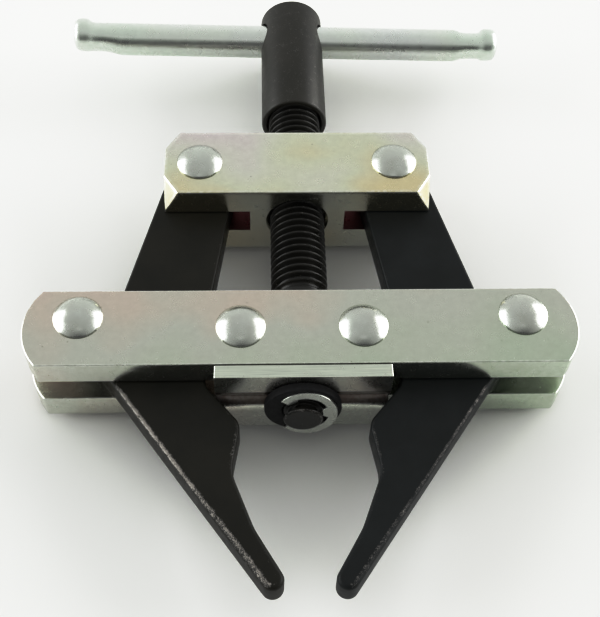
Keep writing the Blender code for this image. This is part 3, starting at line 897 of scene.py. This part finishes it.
def tommy_bar():
    """A drawn round bar. Near each end a press has nipped it, which leaves a neck and a rounded head."""
    radius = 3.95 * MM
    left, right = TOMMY_LOW.x, TOMMY_HIGH.x
    # Which way the press pushed, round the bar's own axis
    push = Vector((0, math.sin(math.radians(42)), math.cos(math.radians(42))))
    across = Vector((0, -push.z, push.y))
    steps = 64
    # Distance in from the end, size along the push, size across it, and shift along the push. The first
    # two of each end make it a small flat.
    left_end = [(0.0, 0.45, 0.45, 0.9), (0.0, 0.70, 0.70, 0.9), (0.25, 0.86, 0.86, 0.9),
                (0.8, 0.97, 0.97, 0.9), (1.6, 1.015, 1.0, 0.9), (2.9, 1.015, 1.0, 0.85),
                (3.6, 0.97, 1.0, 0.72), (4.2, 0.90, 1.03, 0.55), (5.2, 0.885, 1.06, 0.45),
                (7.4, 0.89, 1.06, 0.42), (9.2, 0.93, 1.04, 0.27), (10.6, 0.98, 1.01, 0.08),
                (11.6, 1.0, 1.0, 0.0)]
    right_end = [(0.0, 0.45, 0.45, 0.35), (0.0, 0.70, 0.70, 0.35), (0.25, 0.86, 0.86, 0.35),
                 (0.8, 0.96, 0.96, 0.35), (1.6, 1.0, 1.0, 0.35), (2.9, 1.0, 1.0, 0.33),
                 (3.5, 0.96, 1.0, 0.25), (4.1, 0.84, 1.04, 0.08), (5.2, 0.81, 1.08, 0.0),
                 (7.4, 0.81, 1.08, 0.0), (9.0, 0.85, 1.06, 0.0), (10.1, 0.96, 1.02, 0.0),
                 (10.8, 1.0, 1.0, 0.0)]
    stations = [(left + d * MM, a, b, s * MM) for d, a, b, s in left_end]
    start = left + left_end[-1][0] * MM
    straight = right - left - (left_end[-1][0] + right_end[-1][0]) * MM
    parts = 24
    stations += [(start + straight * k / parts, 1.0, 1.0, 0.0) for k in range(1, parts)]
    stations += [(right - d * MM, a, b, s * MM) for d, a, b, s in reversed(right_end)]
    lean = Matrix.Rotation(CLOCKING, 3, "Y")
    centre = Vector((0, CROSS_Y, AXIS_Z))
    points, faces = [], []
    for x, along, over, shift in stations:
        for i in range(steps):
            angle = 2 * math.pi * i / steps
            pushed = push * (radius * along * math.sin(angle) + shift)
            offset = pushed + across * radius * over * math.cos(angle)
            points.append(centre + lean @ (Vector((x, 0, 0)) + offset))
    for k in range(len(stations) - 1):
        faces += band(k * steps, (k + 1) * steps, steps)
    faces.append(tuple(range(steps)))
    faces.append(tuple(range((len(stations) - 1) * steps, len(stations) * steps)))
    obj = solid("tommy_bar_drawn", points, faces, crease=50)
    settle(obj, "tommy_bar", "tommy_bar", "bright_bar", bar_zinc)


def yoke():
    """The nut block: ground corners, a slot from each end, and a plain bore, without the tapped thread,
    with countersunk mouths.
    """
    low, high = YOKE_LOW, YOKE_HIGH
    middle, half = (low + high) / 2, (high - low) / 2
    slot_half, core = 3.2 * MM, 10.4 * MM
    # Each corner has a slanted cut, widest at the top or bottom face and gone at the slot.
    along, across = 3.2 * MM, 5.0 * MM
    corners = ((half.x - along, half.y, half.z), (half.x, half.y - across, half.z),
               (half.x, half.y, slot_half))
    mesh = bpy.data.meshes.new("yoke_milled")
    work = bmesh.new()
    for signs in itertools.product((-1, 1), repeat=3):
        for corner in corners:
            work.verts.new([centre + sign * size for centre, sign, size in zip(middle, signs, corner)])
    bmesh.ops.convex_hull(work, input=work.verts)
    bmesh.ops.dissolve_limit(work, angle_limit=math.radians(1), verts=work.verts, edges=work.edges)
    bmesh.ops.recalc_face_normals(work, faces=work.faces)
    worn = work.verts.layers.float.new("wear")
    for vertex in work.verts:
        vertex[worn] = 1.0
    outer, sharp = set(work.verts), work.edges[:]
    bmesh.ops.inset_individual(work, faces=work.faces[:], thickness=0.9 * MM, use_even_offset=True)
    for vertex in work.verts:
        if vertex not in outer:
            vertex[worn] = 0.0
    bmesh.ops.bevel(work, geom=sharp, offset=0.30 * MM, offset_type="OFFSET", segments=3, profile=0.5,
                    affect="EDGES", clamp_overlap=True)
    work.to_mesh(mesh)
    work.free()
    obj = add_object("yoke_milled", mesh)
    cutters = []
    for side in (-1, 1):
        ends = sorted((side * core, side * (high.x + MM)))
        cutters.append(cutter_prism(f"slot_{side}", (ends[0], low.y - MM, AXIS_Z - slot_half),
                                    (ends[1], high.y + MM, AXIS_Z + slot_half)))
    cutters += rivet_cutters("yoke", low.z, high.z)
    mouth, bore = 6.9 * MM, 6.2 * MM
    sink = mouth - bore
    tapping = [(0, high.y + MM), (mouth + MM, high.y + MM), (bore, high.y - sink), (bore, low.y + sink),
               (mouth + MM, low.y - MM), (0, low.y - MM)]
    cutters.append(lathe("tapping", tapping, (0, 0, AXIS_Z), about_y))
    carve(obj, cutters, crease=25)
    settle(obj, "yoke", "yoke", "zinc_block", yoke_zinc, slot_film_and_shade_zinc)
    near = 0.05 * MM

    def in_slot(centre, normal):
        level = abs(centre.z - AXIS_Z)
        return abs(centre.x) > core - near and level < slot_half + near and (
            abs(abs(centre.x) - core) < near or abs(level - slot_half) < near)

    # The slot faces take the darker, redder material: a redder film with painted shade inside the slots.
    paint_faces(obj, 1, in_slot)


def arm_outline(side):
    """One arm in its own place, counter-clockwise, and each point's wear and edge width."""
    pivot = PIVOT[side]
    outer_lean, inner_lean = math.radians(14.0), math.radians(8.65)
    jaw_lean, back_lean = math.radians(30.0), math.radians(35.0)

    def here(x, y):
        return (x * MM - PIVOT["right"].x, FRONT + y * MM - pivot.y)

    eye = arc((0, 0), 7.6 * MM, outer_lean, math.pi + inner_lean, 40)
    tip = arc(here(6.75, -40.6), 2.1 * MM, math.pi - jaw_lean, 2 * math.pi - back_lean, 18)
    jaw_length = 10.0 * MM
    jaw_top = (tip[0][0] + jaw_length * math.sin(jaw_lean), tip[0][1] + jaw_length * math.cos(jaw_lean))
    inner = [(here(20.55, 8.0), 6.0, 6), (here(19.2, -1.0), 4.0, 6), (here(12.4, -9.4), 3.6, 14),
             (here(14.2, -19.6), 9.0, 12), (jaw_top, 14.0, 10)]
    corners = [eye[-1]] + [corner for corner, _, _ in inner] + [tip[0]]
    outline = list(eye)
    for i, (corner, radius, steps) in enumerate(inner, 1):
        outline += rounded_corner(corners[i - 1], corner, corners[i + 1], radius * MM, steps)
    outline += tip
    outline += rounded_corner(tip[-1], here(41.06, 4.76), eye[0], 1.5 * MM, 6)
    outline = divided(outline, 2.0 * MM)
    if side == "left":
        outline = [(-x, y) for x, y in reversed(outline)]
    # Both arms hang a trifle to the right in their running clearance.
    lean = math.radians(0.2)
    cosine, sine = math.cos(lean), math.sin(lean)
    return [(x * cosine - y * sine + pivot.x, x * sine + y * cosine + pivot.y) for x, y in outline]


def arm(side, material):
    """One hooked arm: forged plate with broken edges, worn where it drags and where it grips."""
    node = f"{side}_arm"
    low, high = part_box(node)
    outline = arm_outline(side)
    # The left arm has seen more use.
    sign, strong, margin = (-1, 0.92, 0.70 * MM) if side == "left" else (1, 0.62, 0.30 * MM)
    upper, lower, edges = [], [], []
    for i, (x, y) in enumerate(outline):
        back, ahead = Vector(outline[i - 1]), Vector(outline[(i + 1) % len(outline)])
        way = ahead - back
        outward = Vector((way.y, -way.x)).normalized()
        in_front = FRONT + MM - y
        if outward.x * sign > 0.2:
            # The outer edge drags on the sleeve, most just in front of the bar.
            rubbed = clamped(in_front / (3 * MM))
            upper.append(rubbed * strong * (1 - 0.25 * clamped((in_front - 10 * MM) / (24 * MM))))
        else:
            # The inner edge is rubbed most at its bulge.
            bulge = math.exp(-((y - FRONT + 13 * MM) / (6 * MM)) ** 2)
            upper.append(0.26 + 0.24 * bulge)
        lower.append(0.25)
        near_tip = clamped((in_front - 22 * MM) / (14 * MM))
        edges.append((0.55 + 0.40 * near_tip) * MM)
    obj = slab(f"{side}_arm_forged", outline, low.z, high.z, edges, wear=(np.array(upper), np.array(lower)),
               steps=5, margin=margin, holes=[(*PIVOT[side].xy, SHANK + 0.25 * MM)])
    settle(obj, node, node, "black_oxide", material)


long_bar("top_side_plate", BAR_LOW, BAR_HIGH)
long_bar("bottom_side_plate", LOWER_BAR_LOW, LOWER_BAR_HIGH)
bracket("upper_bracket", 1)
bracket("lower_bracket", -1)
for side in ("left", "right"):
    rivet(f"outer_rivet_{side}", "frame", BAR_HIGH.z, LOWER_BAR_LOW.z)
    rivet(f"inner_rivet_{side}", "frame", BAR_HIGH.z, LOWER_BAR_LOW.z)
    rivet(f"yoke_rivet_{side}", "yoke", YOKE_HIGH.z, YOKE_LOW.z)
    sleeve(f"spacer_sleeve_{side}")
screw()
washer()
ring_clip()
head()
tommy_bar()
yoke()
arm("left", left_oxide)
arm("right", right_oxide)


# Floor, light and camera --------------

def floor():
    """A pale table top with eased edges, under the lowest rivet heads."""
    half, thick = 1.6, 0.02
    outline = rounded([(half, -half), (half, half), (-half, half), (-half, -half)], 0.05, 6)
    obj = slab("table_top", outline, cad_low.z - thick, cad_low.z, 0.004, margin=0.002)
    look = Look("table_white", 0.0, Specular_IOR_Level=0.35)
    colour = look.ramp(look.noise(0.12, 2.0), (0.3, (0.83, 0.83, 0.815)), (0.7, (0.86, 0.86, 0.845)))
    roughness = look.ramp(look.noise(0.05, 3.0), (0.3, 0.50), (0.7, 0.60))
    grain = look.height(look.noise(0.004, 3.0), 0.01 * MM)
    obj.data.materials.append(look.finish(colour, roughness, grain))


def soft_box(name, direction, distance, width, height, radiance, tint=(1, 1, 1)):
    """A rectangular lamp that faces the object from a direction (azimuth from +X, elevation)."""
    azimuth, elevation = (math.radians(a) for a in direction)
    out = Vector((math.cos(azimuth) * math.cos(elevation), math.sin(azimuth) * math.cos(elevation),
                  math.sin(elevation)))
    lamp = bpy.data.lights.new(name, "AREA")
    lamp.shape = "RECTANGLE"
    lamp.size, lamp.size_y = width, height
    lamp.energy = radiance * math.pi * width * height
    lamp.color = tint
    obj = add_object(name, lamp)
    obj.location = out * distance
    obj.rotation_euler = out.to_track_quat("Z", "Y").to_euler()


def surroundings():
    """A pale room, darker in front, where the photographer stands."""
    world = bpy.data.worlds.new("studio")
    bpy.context.scene.world = world
    world.use_nodes = True
    nodes, links = world.node_tree.nodes, world.node_tree.links
    direction = nodes.new("ShaderNodeTexCoord")
    toward = nodes.new("ShaderNodeVectorMath")
    toward.operation = "DOT_PRODUCT"
    toward.inputs[1].default_value = Vector((0.05, -0.97, 0.20)).normalized()
    links.new(direction.outputs["Generated"], toward.inputs[0])
    share = nodes.new("ShaderNodeMapRange")
    share.inputs["From Min"].default_value = -1.0
    links.new(toward.outputs["Value"], share.inputs["Value"])
    # From straight behind the object, over its top, to straight in front
    levels = ((0.0, 0.66), (0.50, 0.52), (0.75, 0.50), (0.853, 0.45), (0.933, 0.33), (0.97, 0.15),
              (1.0, 0.09))
    ramp = colour_ramp(nodes, [(place, (level * 0.99, level, level * 0.98)) for place, level in levels])
    links.new(share.outputs["Result"], ramp.inputs["Fac"])
    links.new(ramp.outputs["Color"], nodes["Background"].inputs["Color"])
    nodes["Background"].inputs["Strength"].default_value = 1.08


def camera():
    """In front of the tool and above it, looking down along the screw."""
    data = bpy.data.cameras.new("camera")
    data.sensor_width = 36.0
    data.lens = 63.985
    data.clip_start, data.clip_end = 0.01, 20.0
    obj = add_object("camera", data)
    place = Vector((-0.007786, -0.146107, 0.199456))
    turn = (Matrix.Rotation(math.radians(-0.525), 4, "Z") @ Matrix.Rotation(math.radians(35.226), 4, "X")
            @ Matrix.Rotation(math.radians(-1.645), 4, "Y"))
    obj.matrix_world = Matrix.Translation(place) @ turn
    bpy.context.scene.camera = obj


def tone():
    """A plain view transform with the firmer contrast of a photograph."""
    view = bpy.context.scene.view_settings
    view.view_transform = "Standard"
    view.use_curve_mapping = True
    curve = view.curve_mapping.curves[3]            # the one for all three channels
    for level, shown in ((0.05, 0.028), (0.18, 0.105), (0.36, 0.36), (0.58, 0.78), (0.75, 0.93)):
        curve.points.new(level, shown)
    view.curve_mapping.update()


floor()
surroundings()
soft_box("left_window", (170, 18), 1.2, 1.20, 0.70, 3.6, (0.98, 1.0, 1.0))
soft_box("right_window", (17, 18), 1.2, 1.20, 0.70, 3.9, (1.0, 1.0, 0.99))
soft_box("ceiling_strip", (-90, 57), 1.4, 0.50, 0.012, 3.5)
camera()

tone()
